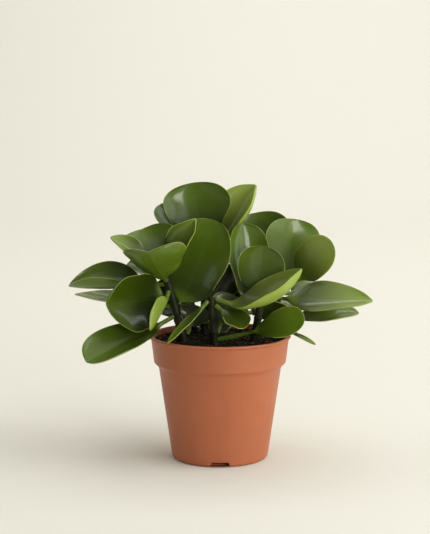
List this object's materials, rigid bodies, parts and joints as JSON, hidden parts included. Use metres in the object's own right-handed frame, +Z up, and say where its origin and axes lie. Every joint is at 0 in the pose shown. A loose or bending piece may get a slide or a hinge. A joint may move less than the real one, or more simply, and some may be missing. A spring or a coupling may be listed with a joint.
{
  "type": "potted peperomia",
  "caption": "Bushy peperomia with thick cupped oval leaves on short upright stems, growing in a round terracotta-coloured plastic nursery pot filled with dark soil",
  "frame": {"origin": "centre of the pot's flat base", "axes": "+Z up along the pot's axis, the plant's best side looks along -Y, and its longest span lies along X"},
  "size_m": [0.256, 0.1611, 0.2326],
  "materials": {
    "pot_plastic": "matte terracotta-coloured moulded plastic",
    "soil": "dark crumbly peat with fibres",
    "stem": "smooth green fleshy stem",
    "leaf": "glossy thick green leaf with a pale margin"
  },
  "bodies": {
    "root": {"pot": "pot_plastic", "soil": "soil", "stem_top": "stem", "stem_left": "stem", "stem_front": "stem", "stem_right": "stem", "stem_mid": "stem", "stem_back_left": "stem", "stem_back_right": "stem", "leaf_crown_broad": "leaf", "leaf_crown_right": "leaf", "leaf_crown_left": "leaf", "leaf_crown_back": "leaf", "leaf_crown_back_left": "leaf", "leaf_crown_back_right": "leaf", "leaf_crown_inner": "leaf", "leaf_crown_low": "leaf", "leaf_crown_left_low": "leaf", "leaf_left_back": "leaf", "leaf_left_spear": "leaf", "leaf_left_small": "leaf", "leaf_left_bowl": "leaf", "leaf_centre_great": "leaf", "leaf_left_long": "leaf", "leaf_left_under": "leaf", "leaf_left_round": "leaf", "leaf_left_edge": "leaf", "leaf_left_droop": "leaf", "leaf_left_inner": "leaf", "leaf_front_blade": "leaf", "leaf_front_crescent": "leaf", "leaf_front_low": "leaf", "leaf_front_inner": "leaf", "leaf_front_rim": "leaf", "leaf_right_tall": "leaf", "leaf_right_face": "leaf", "leaf_right_glossy": "leaf", "leaf_right_round": "leaf", "leaf_right_back": "leaf", "leaf_right_long": "leaf", "leaf_right_under": "leaf", "leaf_right_tail": "leaf", "leaf_right_inner": "leaf", "leaf_right_behind": "leaf", "leaf_back_left_side": "leaf", "leaf_back_left_high": "leaf", "leaf_back_middle": "leaf", "leaf_back_left_inner": "leaf", "leaf_back_left_droop": "leaf", "leaf_back_right_high": "leaf", "leaf_back_inner_right": "leaf", "leaf_back_right_side": "leaf", "leaf_back_droop": "leaf", "leaf_back_right_droop": "leaf"}
  },
  "joints": []
}
